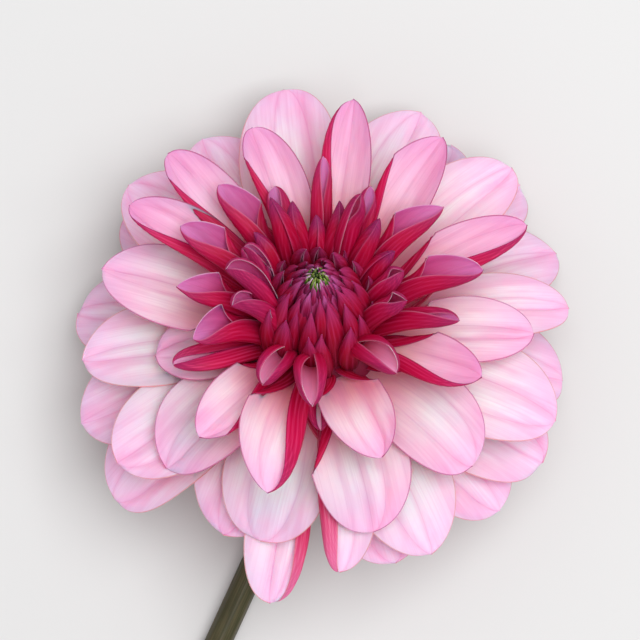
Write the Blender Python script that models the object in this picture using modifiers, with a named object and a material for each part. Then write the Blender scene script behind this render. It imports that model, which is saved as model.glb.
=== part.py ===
"""A cut dahlia with a length of its stem, lying on a table with its face tipped up.

Sizes below are in millimetres and degrees. The head is modelled in its own frame, with the eye at zero and the
head's axis up, and an empty then tips it back and sets it down over the table. The stem is modelled in place.
"""

import math
from typing import NamedTuple

import bmesh
import bpy
import numpy as np
from mathutils import Matrix, Vector

# ---------------------------------------------------------------- driving dimensions
MM = 0.001
HEAD_TIP = 25.0                 # how far the head's axis leans from upright
EYE = (-0.7, 43.6, 58.0)        # where the middle of the flower's face stands over the table
BLADE = 0.7                     # thickness of a floret's blade
GAP = 0.3                       # clearance between separate pieces
BLUNT_TIP = 0.05                # half-width left at a floret's tip, as a share of its widest
TABLE_LIFT = 1.0                # florets that don't carry the head are kept this far off the table
RESTING = (60, 118)             # directions of the two outermost florets that the head rests on


class Row(NamedTuple):
    """One ring of florets; lengths in millimetres, angles in degrees, places along a floret as shares of it."""
    root_radius: float          # distance of the roots from the head's axis
    root_height: float          # height of the roots against the eye
    rise: float                 # slope at the root
    bend: float                 # change of slope from root to tip
    lift: float                 # extra slope on the side that points up the table, less on the other
    width: float
    claw: float                 # width at the root as a share of the widest
    widest: float               # where the blade is widest
    rolled: float               # how far each margin curls over at the root
    spread: float               # the same at the tip
    opens_from: float           # where the roll starts to open
    opens_by: float             # where it is open
    along: int                  # stations from root to tip
    across: int                 # points from margin to margin
    florets: tuple              # direction, length, and the width where it isn't the row's


LOWEST = Row(11.5, -41, 20, -52, 4, 25, 0.22, 0.60, 95, 14, 0.0, 0.40, 6, 4, (
    (27, 56), (43, 58), (60, 57), (88, 54), (118, 54), (142, 50), (167, 50), (197, 49), (215, 50),
    (245, 40), (262, 51, 15), (289, 45), (318, 48), (334, 50), (355, 50)))
OUTER = Row(12.0, -37, 30, -50, 14, 25, 0.22, 0.60, 100, 16, 0.0, 0.42, 6, 4, (
    (7, 50, 17), (41, 53, 20), (65, 53), (97, 53), (120, 48), (141, 49), (184, 45, 22), (214, 45),
    (255, 39), (271, 44, 16), (297, 47), (318, 44), (340, 49)))
MIDDLE = Row(12.5, -33, 36, -50, 10, 23, 0.25, 0.60, 125, 18, 0.0, 0.55, 6, 4, (
    (165, 42), (190, 27, 18), (223, 37), (287, 39), (316, 38), (356, 40, 20)))
INNER = Row(13.0, -29, 46, -38, 6, 21, 0.40, 0.56, 150, 28, 0.2, 1.0, 6, 5, (
    (20, 44), (55, 43), (80, 44), (108, 39), (132, 43), (150, 42), (200, 24, 18), (229, 30),
    (256, 38, 18), (293, 28, 17), (335, 31)))
ROLLED = Row(13.0, -26, 64, -38, -2, 18, 0.42, 0.60, 150, 60, 0.45, 1.1, 5, 5, (
    (4, 34), (37, 31), (87, 28, 15), (129, 29, 15), (151, 29, 15), (178, 26, 16), (197, 23, 16),
    (237, 20, 14), (266, 25, 15), (310, 21, 15)))
TUBED = Row(13.0, -23, 80, -26, -2, 13, 0.50, 0.60, 150, 110, 0.4, 1.1, 5, 5, (
    (25, 19), (57, 27), (72, 20, 10), (98, 17, 10), (113, 25), (135, 14, 10), (165, 14, 11),
    (215, 15, 11), (345, 22)))
OPEN_ROWS = (LOWEST, OUTER, MIDDLE, INNER, ROLLED, TUBED)


class Ring(NamedTuple):
    """One ring of closed florets on the heart."""
    count: int
    first: float                # direction of the first one
    root_radius: float
    root_height: float
    length: float
    thickness: float
    rise: float
    bend: float


CLOSED_RINGS = (
    Ring(15, 5, 10.2, -19.0, 14.5, 4.9, 82, 42),
    Ring(14, 16, 8.2, -15.5, 13.0, 4.1, 90, 44),
    Ring(13, 4, 6.2, -12.0, 11.0, 3.1, 96, 40),
    Ring(11, 0, 4.2, -9.0, 8.5, 2.3, 100, 36))
CLOSED_SIDES = 6
CLOSED_STATIONS = 5
CLOSED_TURN = 23                # each is turned about itself by this much more than its neighbour

# outlines turned about the head's axis: radius, height
RECEPTACLE = ((0, -44.5), (9.0, -44.5), (14.5, -41.5), (18.0, -36.0), (18.0, -30.0), (16.5, -25.5), (14.2, -22.0),
              (0, -22.0))
HEART_CORE = ((0, -25.5), (8.6, -25.5), (9.4, -22.0), (10.4, -17.0), (9.6, -11.0), (7.2, -6.4), (4.4, -4.0),
              (0, -4.0))
HEART_ROOM = ((0, -25.5 - GAP), (8.6 + GAP, -25.5 - GAP), (9.4 + GAP, -22.4), (12.5, -19.6), (13.3, -16.5),
              (13.3, -11.0), (12.2, -6.0), (9.0, -1.0), (0, 2.5))
EYE_RADIUS = 2.3
EYE_DEPTH = 5.0
EYE_SCALES = 7
CUP = ((0, -49.5), (4.2, -49.5), (6.5, -48.5), (9.5, -46.4), (10.0, -44.5 - GAP), (0, -44.5 - GAP))
BRACTS = Row(7.5, -47.2, -4, -34, 0, 9.0, 0.60, 0.50, 30, 20, 0.0, 1.0, 5, 4, (
    (62, 17), (134, 17), (206, 16), (278, 16), (350, 17)))
TURNED_STEPS = 24

STEM_RADIUS = 3.3
NECK_TOP = -49.5 - GAP          # height in the head's frame where the stem meets the cup
NECK_PULL = 9.0                 # how long the neck keeps the head's direction before it bends over
# where the stem bends, against the eye: over the table first, then along it; each with its pull along the stem
STEM_BENDS = (((-3.0, -42.0, -54.0), 9.0), ((-15.5, -70.0, -54.7), 11.0), ((-44.0, -132.0, -54.7), 22.0))

HEAD = Matrix.Translation(Vector(EYE)) @ Matrix.Rotation(math.radians(-HEAD_TIP), 4, "X")


# ---------------------------------------------------------------- small tools
def ease(share):
    """A smooth step from 0 to 1."""
    share = np.clip(share, 0.0, 1.0)
    return share * share * (3 - 2 * share)


def new_object(name, mesh, collection):
    made = bpy.data.objects.new(name, mesh)
    collection.objects.link(made)
    return made


def mesh_from(work, name):
    mesh = bpy.data.meshes.new(name)
    work.to_mesh(mesh)
    work.free()
    return mesh


def turned(name, outline, collection):
    """A solid turned about the head's axis from pairs of radius and height, listed from the bottom up."""
    work = bmesh.new()
    verts = [work.verts.new((radius * MM, 0, height * MM)) for radius, height in reversed(outline)]
    for upper, lower in zip(verts, verts[1:]):
        work.edges.new((upper, lower))
    made = new_object(name, mesh_from(work, name), collection)
    screw = made.modifiers.new("turn", "SCREW")
    screw.steps = screw.render_steps = TURNED_STEPS
    screw.use_merge_vertices = True
    screw.merge_threshold = 0.00001
    return made


def bake(made):
    """Turns an object's modifiers into plain mesh."""
    made.data = bpy.data.meshes.new_from_object(made.evaluated_get(bpy.context.evaluated_depsgraph_get()))
    made.modifiers.clear()


# ---------------------------------------------------------------- florets
def midrib(start, length, rise, bend, share):
    """Radius, height and slope along a floret's midrib, which is an arc from a root at radius and height."""
    first, turn = math.radians(rise), math.radians(bend)
    slope = first + turn * share
    radius = start[0] + length / turn * (np.sin(slope) - math.sin(first))
    height = start[1] - length / turn * (np.cos(slope) - math.cos(first))
    return radius, height, slope


def along_midrib(rib, sideways, inward, direction):
    """Points beside a midrib that leaves the head's axis in a direction; inward is towards the floret's face."""
    radius, height, slope = rib
    out = radius - np.sin(slope) * inward
    up = height + np.cos(slope) * inward
    around = math.radians(direction)
    x = out * math.cos(around) - sideways * math.sin(around)
    y = out * math.sin(around) + sideways * math.cos(around)
    return np.stack([x, y, up], -1)


def half_width(row, width, share):
    """Half the blade's flat width: a claw that widens to the belly and closes to a blunt point."""
    opening = row.claw + (1 - row.claw) * ease(share / row.widest)
    closing = (1 - np.clip((share - row.widest) / (1 - row.widest), 0, 1) ** 1.9) ** 0.72
    return width / 2 * np.maximum(np.where(share < row.widest, opening, closing), BLUNT_TIP)


def blade_points(row, direction, length, width, share, place):
    """Points on a blade's middle surface: share runs from root to tip, place from one margin (-1) to the other."""
    rise = row.rise + row.lift * math.sin(math.radians(direction))
    rib = midrib((row.root_radius, row.root_height), length, rise, row.bend, share)
    opened = ease((share - row.opens_from) / (row.opens_by - row.opens_from))
    roll = np.radians(row.rolled + (row.spread - row.rolled) * opened)
    curl = half_width(row, width, share) / roll
    return along_midrib(rib, curl * np.sin(roll * place), curl * (1 - np.cos(roll * place)), direction)


def press_on_table(points, floor):
    """Points of the head's frame, with any that would go lower than the floor laid on it."""
    turn, shift = np.array(HEAD.to_3x3()), np.array(HEAD.translation)
    placed = points @ turn.T + shift
    placed[:, 2] = np.maximum(placed[:, 2], floor)
    return (placed - shift) @ turn


def add_floret(row, direction, length, width, floor, collection):
    """A grid bent to the floret's shape, split into triangles and then thickened, so both faces split alike."""
    work = bmesh.new()
    bmesh.ops.create_grid(work, x_segments=row.along - 1, y_segments=row.across - 1, size=1)
    share = np.array([(vert.co.x + 1) / 2 for vert in work.verts])
    share = 1 - (1 - share) ** 1.25
    place = np.array([vert.co.y for vert in work.verts])
    points = blade_points(row, direction, length, width, share, place)
    points = press_on_table(points, floor + BLADE / 2)
    for vert, point in zip(work.verts, points):
        vert.co = point * MM
    bmesh.ops.triangulate(work, faces=work.faces)
    floret = new_object("floret", mesh_from(work, "floret"), collection)
    solidify = floret.modifiers.new("thickness", "SOLIDIFY")
    solidify.thickness = BLADE * MM
    solidify.offset = 0


def add_row(row, collection):
    for direction, length, *given in row.florets:
        floor = 0.0 if row is LOWEST and direction in RESTING else TABLE_LIFT
        add_floret(row, direction, length, given[0] if given else row.width, floor, collection)


def add_closed_floret(ring, number, collection):
    """A floret that hasn't opened: a ball drawn out to a spindle that leans in over the heart."""
    direction = ring.first + number * 360 / ring.count
    own_turn = Matrix.Rotation(math.radians(number * CLOSED_TURN), 4, "Z")
    work = bmesh.new()
    bmesh.ops.create_uvsphere(work, u_segments=CLOSED_SIDES, v_segments=CLOSED_STATIONS, radius=1, matrix=own_turn)
    ball = np.array([vert.co for vert in work.verts])
    share = (1 + ball[:, 2]) / 2
    girth = ring.thickness / 2 * (1 - 0.35 * share)
    rib = midrib((ring.root_radius, ring.root_height), ring.length, ring.rise, ring.bend, share)
    points = along_midrib(rib, ball[:, 1] * girth, ball[:, 0] * girth, direction)
    for vert, point in zip(work.verts, points):
        vert.co = point * MM
    bmesh.ops.recalc_face_normals(work, faces=work.faces)
    new_object("closed floret", mesh_from(work, "closed floret"), collection)


# ---------------------------------------------------------------- Booleans and materials
def boolean(base, operation, collection, solver="EXACT"):
    """Joins or cuts the base with everything in a collection, applies it and removes what it used."""
    step = base.modifiers.new(operation, "BOOLEAN")
    step.operation = operation
    step.operand_type = "COLLECTION"
    step.collection = collection
    step.solver = solver
    bake(base)
    for used in list(collection.objects):
        bpy.data.objects.remove(used)
    keep_outer_shell(base.data)


def keep_outer_shell(mesh):
    """Fills hollows that joining has sealed and drops loose scraps, by keeping only the biggest shell."""
    work = bmesh.new()
    work.from_mesh(mesh)
    left = set(work.verts)
    shells = []
    while left:
        shell, waiting = set(), [left.pop()]
        while waiting:
            vert = waiting.pop()
            shell.add(vert)
            near = {edge.other_vert(vert) for edge in vert.link_edges} & left
            left -= near
            waiting += near
        shells.append(shell)
    biggest = max(shells, key=len)
    bmesh.ops.delete(work, geom=[vert for vert in work.verts if vert not in biggest], context="VERTS")
    work.to_mesh(mesh)
    work.free()


def finish(made, colour, roughness, head=None):
    """Gives a piece its material, and its place on the head."""
    material = bpy.data.materials.new(made.name)
    material.use_nodes = True
    shader = material.node_tree.nodes["Principled BSDF"]
    shader.inputs["Base Color"].default_value = (*colour, 1.0)
    shader.inputs["Roughness"].default_value = roughness
    made.data.materials.clear()
    made.data.materials.append(material)
    made.parent = head
    if made.type == "MESH":
        made.data.shade_smooth()


# ---------------------------------------------------------------- the pieces
def make_bloom(head, parts, tools):
    """The receptacle with every open floret, and room in its middle for the heart."""
    bloom = turned("bloom", RECEPTACLE, parts)
    for row in OPEN_ROWS:
        add_row(row, tools)
    boolean(bloom, "UNION", tools, solver="MANIFOLD")
    turned("heart room", HEART_ROOM, tools)
    boolean(bloom, "DIFFERENCE", tools, solver="MANIFOLD")
    finish(bloom, (0.80, 0.36, 0.52), 0.5, head)


def make_heart(head, parts, tools):
    """The closed crimson florets in their rings, with a hole for the eye."""
    heart = turned("heart", HEART_CORE, parts)
    for ring in CLOSED_RINGS:
        for number in range(ring.count):
            add_closed_floret(ring, number, tools)
    boolean(heart, "UNION", tools)
    hole = EYE_RADIUS + GAP
    turned("eye room", ((0, -EYE_DEPTH - GAP), (hole, -EYE_DEPTH - GAP), (hole, 6.0), (0, 6.0)), tools)
    boolean(heart, "DIFFERENCE", tools)
    finish(heart, (0.34, 0.01, 0.07), 0.5, head)


def make_eye(head, parts):
    """The green middle: a ball pinched into pointed scales, flat below and closing to a tip."""
    work = bmesh.new()
    bmesh.ops.create_uvsphere(work, u_segments=2 * EYE_SCALES, v_segments=6, radius=1)
    for vert in work.verts:
        around = math.atan2(vert.co.y, vert.co.x)
        pinch = 0.9 + 0.1 * math.cos(EYE_SCALES * around)
        vert.co = Vector((vert.co.x * pinch * EYE_RADIUS, vert.co.y * pinch * EYE_RADIUS,
                          (vert.co.z - 1) / 2 * EYE_DEPTH)) * MM
    eye = new_object("eye", mesh_from(work, "eye"), parts)
    finish(eye, (0.22, 0.36, 0.06), 0.5, head)


def make_calyx(head, parts, tools):
    """The green cup under the head with its leafy bracts."""
    calyx = turned("calyx", CUP, parts)
    add_row(BRACTS, tools)
    boolean(calyx, "UNION", tools)
    finish(calyx, (0.12, 0.24, 0.05), 0.5, head)


def make_stem(parts):
    """A tube that leaves the cup, bends over and lies along the table to its cut end."""
    curve = bpy.data.curves.new("stem", "CURVE")
    curve.dimensions = "3D"
    curve.resolution_u = curve.render_resolution_u = 7
    curve.bevel_depth = STEM_RADIUS * MM
    curve.bevel_resolution = 2
    curve.use_fill_caps = True
    away = HEAD.to_3x3() @ Vector((0, 0, -1))
    places = [HEAD @ Vector((0, 0, NECK_TOP))] + [Vector(place) + Vector(EYE) for place, pull in STEM_BENDS]
    pulls = [NECK_PULL] + [pull for place, pull in STEM_BENDS]
    ways = [away, (places[2] - places[0]), (places[3] - places[1]), (places[3] - places[2])]
    ways[1].z = ways[2].z = ways[3].z = 0
    spline = curve.splines.new("BEZIER")
    spline.bezier_points.add(len(places) - 1)
    for point, place, way, pull in zip(spline.bezier_points, places, ways, pulls):
        point.co = place * MM
        point.handle_left = (place - way.normalized() * pull) * MM
        point.handle_right = (place + way.normalized() * pull) * MM
    stem = new_object("stem", curve, parts)
    finish(stem, (0.09, 0.10, 0.04), 0.6)


def main():
    for old in list(bpy.data.objects):
        bpy.data.objects.remove(old)
    parts = bpy.data.collections.new("dahlia")
    tools = bpy.data.collections.new("cutters")
    bpy.context.scene.collection.children.link(parts)
    bpy.context.scene.collection.children.link(tools)
    head = new_object("head", None, parts)
    head.location = [length * MM for length in EYE]
    head.rotation_euler.x = math.radians(-HEAD_TIP)
    make_bloom(head, parts, tools)
    make_heart(head, parts, tools)
    make_eye(head, parts)
    make_calyx(head, parts, tools)
    make_stem(parts)


main()
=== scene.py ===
# %% [markdown]
# # A cut dahlia, floret by floret
#
# What looks like one flower is a head of nearly two hundred small flowers, called florets. The open ones
# each carry one long pink blade, and the ones in the middle are still rolled shut. This lesson rebuilds
# that head in Blender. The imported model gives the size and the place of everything, and stays hidden
# under the finer pieces made here.

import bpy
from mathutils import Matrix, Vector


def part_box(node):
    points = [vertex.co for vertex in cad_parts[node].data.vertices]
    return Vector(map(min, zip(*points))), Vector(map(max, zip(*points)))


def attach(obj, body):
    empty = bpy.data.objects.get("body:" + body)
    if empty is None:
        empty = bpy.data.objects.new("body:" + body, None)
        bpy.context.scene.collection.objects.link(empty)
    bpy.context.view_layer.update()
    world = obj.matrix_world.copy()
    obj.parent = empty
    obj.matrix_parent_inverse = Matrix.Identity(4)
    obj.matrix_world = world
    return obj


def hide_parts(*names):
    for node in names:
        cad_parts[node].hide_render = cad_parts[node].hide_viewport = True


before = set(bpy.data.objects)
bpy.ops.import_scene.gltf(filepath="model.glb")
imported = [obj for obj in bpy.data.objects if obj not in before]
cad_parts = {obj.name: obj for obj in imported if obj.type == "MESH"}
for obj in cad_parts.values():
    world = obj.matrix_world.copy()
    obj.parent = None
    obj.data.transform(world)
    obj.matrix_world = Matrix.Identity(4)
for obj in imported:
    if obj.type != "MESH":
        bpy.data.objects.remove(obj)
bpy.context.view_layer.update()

# %% What Blender and Python give us
import math
from typing import NamedTuple

import bmesh
import bpy
import numpy as np
from mathutils import Matrix, Vector
from mathutils.geometry import interpolate_bezier

print("nodes in the packed model:", sorted(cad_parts))

# %% [markdown]
# ## Where the head is
#
# A cut dahlia laid on a table rests on its lowest petals, so its head leans back. All sizes from here on
# are in millimetres, in the head's own frame: the head's axis points up and the eye, the green middle, is
# at zero. One matrix then carries a point to the table. The eye's solid is an ellipsoid, so the middle of
# its box is its own middle, and the tip of the eye lies half the eye's depth further along the axis.

# %% The head's frame, from the eye's box
MM = 0.001                      # metres
HEAD_TIP = 25.0                 # degrees that the head leans back, towards +Y
EYE_DEPTH = 5.0                 # mm, the eye's solid along the head's axis

eye_low, eye_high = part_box("eye")
LEAN = Matrix.Rotation(math.radians(-HEAD_TIP), 4, "X")
EYE = (eye_low + eye_high) / 2 / MM + LEAN @ Vector((0, 0, EYE_DEPTH / 2))
HEAD = Matrix.Translation(EYE) @ LEAN
print("the eye is at", [round(value, 1) for value in EYE], "mm")

# %% [markdown]
# ## How a floret is shaped
#
# Every floret is a strap that starts as a narrow claw, widens to a belly and closes to a small point. Its
# middle line, the midrib, leaves the head's axis and bends evenly, and some tips hook in or out at the
# end. What tells the rows apart is the roll of the margins: they curl over the face, wholly at the root
# and less and less towards the tip. On the outer petals the blade opens flat, and nearer the heart so
# much stays rolled that the crimson back shows as a long flank.
#
# Such a row can be drawn by hand petal by petal, or bent from a flat strap with modifiers. A formula for
# the section is chosen here, because one set of words then describes all of them: where the fold lies at
# the root, where it opens on each side, and how far the blade is rolled before and after.

# %% What describes a row of florets
class Row(NamedTuple):
    """One ring of florets; lengths in millimetres, angles in degrees, places on a floret as shares."""
    root_radius: float          # distance of the roots from the head's axis
    root_height: float          # height of the roots against the eye
    rise: float                 # slope at the root
    bend: float                 # change of slope from root to tip
    florets: tuple              # direction, length, widest width, and where each margin's fold runs out
    lift: float = 0.0           # extra slope on the side that points up the table, less on the other
    claw: float = 0.5           # width at the root as a share of the widest
    widest: float = 0.6         # where the blade is widest
    taper: float = 0.56         # how the end closes: under 1 is round, 1 and over is pointed
    rolled: float = 195         # how far a margin is turned over where it is folded
    spread: float = 16          # how far it still curls up where the fold has run out
    fold: float = 0.30          # where the fold is at the root, from 0 at the midrib to 1 at the margin
    lap: float = 0.0            # how much further the margin that opens last reaches over the other
    soft: float = 0.6           # share of the part outside the fold that turns: 1 is a tube, 0 a sharp fold
    late: float = 2.0           # 1 moves the fold evenly out to the margin, more keeps it back at first
    opens_from: float = 0.0     # where the fold starts to move out towards the margin
    gather: float = 1.3         # 1 curls the open blade evenly, more keeps its middle flat
    crease: float = 0.0         # depth of the soft creases along the blade
    wave: float = 0.0           # how far the margins wander up and down
    ridge: float = 0.0          # height of the ribs on the back
    stagger: float = 0.0        # every other floret rises this much more and the rest less
    twist: float = 7.0          # how far a floret may turn about its midrib on the way to its tip
    sweep: float = 0.0          # how far the tips are swept round the head's axis
    hook: float = 0.0           # further change of slope at the tip: in over the face, or out if below 0


print("a row has", len(Row._fields), "words, and", len(Row._field_defaults), "of them have a usual value")

# %% [markdown]
# ## The pale rows
#
# Directions go round the head's axis, and the flower's upper side is at 90 degrees. On a real head the
# directions follow a spiral, but light, wind and neighbours push the petals about, so each floret here
# has its own direction, length and width. Where its fold runs out on each side decides how much of its
# back shows as a flank.

# %% The pale rows, from the table up
def plain(opens_by, *florets):
    """Florets whose two margins open at the same place, unless they say otherwise."""
    return tuple((*floret, opens_by, opens_by)[:5] for floret in florets)


LOWEST = Row(
    root_radius=11.5, root_height=-41, rise=20, bend=-52, lift=4, claw=0.45, taper=0.50, spread=8,
    crease=1.0, wave=0.6, stagger=1.8,
    florets=plain(
        0.36, (27, 56, 25), (43, 58, 25), (60, 57, 25), (88, 54, 25), (118, 54, 25), (142, 50, 25),
        (167, 50, 25), (197, 49, 25), (215, 50, 25), (245, 40, 25), (259, 52, 19, 0.42, 1.3),
        (289, 45, 25), (318, 48, 25), (334, 50, 25), (355, 50, 25)))
OUTER = Row(
    root_radius=12.0, root_height=-37, rise=30, bend=-50, lift=11, claw=0.48, taper=0.50, spread=9,
    crease=1.0, wave=0.5, stagger=2.6,
    florets=plain(
        0.40, (7, 50, 18), (41, 53, 21), (65, 53, 25), (97, 53, 25), (120, 48, 25), (141, 49, 25),
        (184, 45, 22), (214, 45, 25), (255, 39, 25), (276, 46, 17, 2.4, 0.45), (297, 47, 25),
        (340, 49, 25)))
MIDDLE = Row(
    root_radius=12.5, root_height=-33, rise=36, bend=-50, lift=11, claw=0.6, taper=0.52, spread=14,
    crease=0.9, wave=0.5, stagger=1.4,
    florets=plain(
        0.42, (165, 42, 21), (190, 27, 17), (223, 37, 22), (317, 38, 22), (286, 39, 23, 0.60, 0.42),
        (356, 40, 17, 0.62, 0.4)))
INNER = Row(
    root_radius=13.0, root_height=-29, rise=46, bend=-38, lift=6, claw=0.88, widest=0.55, spread=46,
    late=2.2, lap=0.06, crease=0.6, wave=0.3, ridge=0.03, stagger=1.0,
    florets=(
        (19, 44, 16, 1.15, 0.56), (53, 43, 17, 0.46, 0.80), (80, 44, 16, 0.46, 1.0),
        (109, 39, 15, 0.36, 0.86), (134, 43, 16, 0.38, 0.92), (153, 42, 15, 0.36, 1.0),
        (203, 25, 15, 1.9, 2.1), (333, 32, 16, 1.0, 0.60)))
PALE_INNER = INNER._replace(
    crease=0.7,
    florets=(
        (230, 31, 15, 0.36, 0.90), (256, 38, 20, 0.42, 1.15), (271, 16, 11, 1.9, 2.1),
        (292, 29, 17, 0.34, 0.36)))
PALE_ROWS = (LOWEST, OUTER, MIDDLE, INNER, PALE_INNER)
print("petals in the pale rows:", [len(row.florets) for row in PALE_ROWS])

# %% [markdown]
# ## The crimson rows
#
# Round the heart the florets are shorter and steeper and have opened less. The rolled ones still show a
# mauve face. Below the heart three are funnels with a pale mouth, and to its left three more are swept
# aside. Above it and beside it stand tubes, and closed ones that twist to a point, as a young floret does
# before it unrolls.

# %% The crimson rows, towards the heart
ROLLED = Row(
    root_radius=13.0, root_height=-26, rise=62, bend=-36, lift=-2, claw=0.92, widest=0.40, taper=0.62,
    rolled=190, spread=70, fold=0.14, lap=0.14, soft=0.80, late=2.0, opens_from=0.48, gather=1.2,
    crease=0.15, wave=0.2, ridge=0.04, stagger=1.0,
    florets=(
        (4, 34, 16, 1.1, 0.66), (35, 31, 16, 1.08, 0.72), (66, 24, 15, 1.0, 1.2), (88, 29, 13, 1.0, 1.25),
        (110, 23, 15, 1.2, 1.0), (132, 30, 16, 0.72, 1.04), (153, 30, 16, 0.72, 1.04),
        (179, 27, 16, 0.66, 1.06), (201, 24, 17, 0.68, 1.08), (345, 29, 15, 1.3, 1.2)))
FUNNELS = Row(
    root_radius=11.5, root_height=-28, rise=88, bend=-78, claw=0.66, widest=0.70, taper=0.36, rolled=200,
    spread=134, fold=0.10, soft=0.85, late=1.1, opens_from=0.30, gather=1.0, crease=0.1, wave=0.3,
    ridge=0.04,
    florets=((240, 21, 16, 1.2, 1.0), (267, 27, 17, 0.95, 1.1), (313, 24, 16, 1.1, 0.9)))
SPOONS = Row(
    root_radius=12.0, root_height=-24, rise=98, bend=-44, claw=0.66, widest=0.68, taper=0.34, rolled=200,
    spread=140, fold=0.10, soft=0.85, late=1.1, opens_from=0.32, gather=1.0, wave=0.2, ridge=0.04,
    sweep=-10.0, hook=-16,
    florets=((178, 19, 13, 1.2, 1.0), (202, 24, 17, 1.1, 1.0), (224, 20, 15, 1.0, 1.1)))
TUBED = Row(
    root_radius=13.0, root_height=-23, rise=80, bend=-26, lift=-2, claw=0.9, widest=0.50, taper=0.44,
    rolled=188, spread=128, fold=0.02, soft=0.84, late=1.2, opens_from=0.68, gather=1.1, wave=0.1,
    ridge=0.04, stagger=2.0, hook=30,
    florets=(
        (10, 19, 15, 2.0, 1.02), (62, 27, 15, 1.02, 2.2), (150, 18, 15, 1.8, 1.0),
        (165, 17, 14, 1.0, 1.4), (345, 22, 16, 1.4, 0.90)))
POINTED = TUBED._replace(
    widest=0.45, taper=0.8, fold=0.0, soft=0.8, opens_from=0.8, twist=30, hook=25,
    florets=(
        (28, 18, 15, 3.0, 4.0), (47, 23, 16, 4.0, 3.0), (76, 21, 16, 3.0, 4.0), (91, 17, 15, 4.0, 3.0),
        (105, 21, 16, 3.0, 4.0), (119, 26, 17, 4.0, 3.0), (136, 18, 15, 3.0, 4.0)))
CRIMSON_ROWS = (ROLLED, FUNNELS, SPOONS, TUBED, POINTED)
print("florets in the crimson rows:", [len(row.florets) for row in CRIMSON_ROWS])

# %% [markdown]
# ## Points on a blade
#
# The formulas below place a point by two numbers: its share of the way from root to tip, and its place
# across the blade, from one margin at -1 to the other at 1. First comes the flat outline, and then the
# midrib, which is added up in small steps, because a bend that also hooks has no simple curve.

# %% The outline and the midrib
NIB = 0.07                      # half-width of the tip's small point, as a share of the widest half-width
NIB_FROM = 0.975                # where that point starts
ROUND_TO = 0.995                # where the round end would close if it had no point
LEAST_WIDTH = 0.002             # share of the half-width that is left at the very tip
RIB_STEPS = 120                 # steps along a midrib
HOOKS_FROM = 0.72               # where a tip that hooks starts to do so


def ease(share):
    """A smooth step from 0 to 1."""
    share = np.clip(share, 0.0, 1.0)
    return share * share * (3 - 2 * share)


def half_width(row, width, share):
    """Half the blade's flat width: a claw, a belly, and an end with a small point."""
    opening = row.claw + (1 - row.claw) * ease(share / row.widest)
    closing = (1 - np.clip((share - row.widest) / (ROUND_TO - row.widest), 0, 1) ** 2) ** row.taper
    nib = NIB * np.clip((1 - share) / (1 - NIB_FROM), 0, 1)
    return width / 2 * np.maximum(np.where(share < row.widest, opening, closing), nib + LEAST_WIDTH)


def slope_at(row, rise, share):
    """The midrib's slope, in radians: an even bend, and a hook over the last stretch."""
    return np.radians(rise + row.bend * share + row.hook * ease((share - HOOKS_FROM) / (1 - HOOKS_FROM)))


def midrib(row, length, rise, share):
    """Radius, height and slope along a floret's midrib, added up in small steps from its root."""
    steps = np.linspace(0, 1, RIB_STEPS + 1)
    slopes = slope_at(row, rise, steps)
    run, climb = [np.concatenate([[0], np.cumsum((way[1:] + way[:-1]) / 2)]) * length / RIB_STEPS
                  for way in (np.cos(slopes), np.sin(slopes))]
    return (row.root_radius + np.interp(share, steps, run),
            row.root_height + np.interp(share, steps, climb),
            slope_at(row, rise, share))


longest = max(length for direction, length, *rest in LOWEST.florets)
reach, height, slope = midrib(LOWEST, longest, LOWEST.rise, 1.0)
print("the longest petal ends", round(float(reach), 1), "mm out and", round(float(height), 1), "mm up")

# %% [markdown]
# The section of a blade is found by walking from the midrib towards the margin in small steps. Each step
# has an angle: a gentle curl that grows outwards, and beyond the fold the turn of the rolled margin,
# spread over the part that lies outside the fold. The mean of the steps so far gives the point. The last
# function turns a point beside the midrib about the head's axis.

# %% The section, and the way round the axis
WALK = 20                       # steps from the midrib to a point of the section
LAST = 0.12                     # the last bit of a fold, in half-widths, over which it flattens out


def section(row, place, rolled, soft, fold):
    """How far a point of the section is to the side of the midrib and over the face, in half-widths."""
    walked = np.abs(place)[:, None] * (np.arange(WALK) + 0.5) / WALK
    outside = (1 - fold)[:, None]
    turned = ease((walked - 1 + outside) / (soft[:, None] * np.maximum(outside, LAST)))
    turned = turned * ease(outside / LAST)
    angle = np.radians(row.spread * walked ** row.gather + (rolled[:, None] - row.spread) * turned)
    return place * np.cos(angle).mean(1), np.abs(place) * np.sin(angle).mean(1)


def around_axis(rib, sideways, inward, direction):
    """Points beside a midrib; inward is towards the face, and the direction is about the head's axis."""
    radius, height, slope = rib
    out = radius - np.sin(slope) * inward
    up = height + np.cos(slope) * inward
    around = np.radians(direction)
    x = out * np.cos(around) - sideways * np.sin(around)
    y = out * np.sin(around) + sideways * np.cos(around)
    return np.stack([x, y, up], -1)


flat_margin, soft, at_root = np.array([1.0]), np.array([LOWEST.soft]), np.array([LOWEST.fold])
margin = section(LOWEST, flat_margin, np.array([LOWEST.rolled]), soft, at_root)
print("at a petal's root the margin lies", round(float(margin[0][0]), 2), "half-widths from the midrib")

# %% [markdown]
# ## What makes each floret its own
#
# No two florets are alike, so each gets seven small draws: how it twists, sways and waves, where its two
# creases lie, how blunt its end is and to which side its tip leans. The margin that opens first is turned
# over a little further, so it slips under the other, as in a real rolled floret. Ribs and creases are
# relief: the sheet is moved along its normal by their height.

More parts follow.
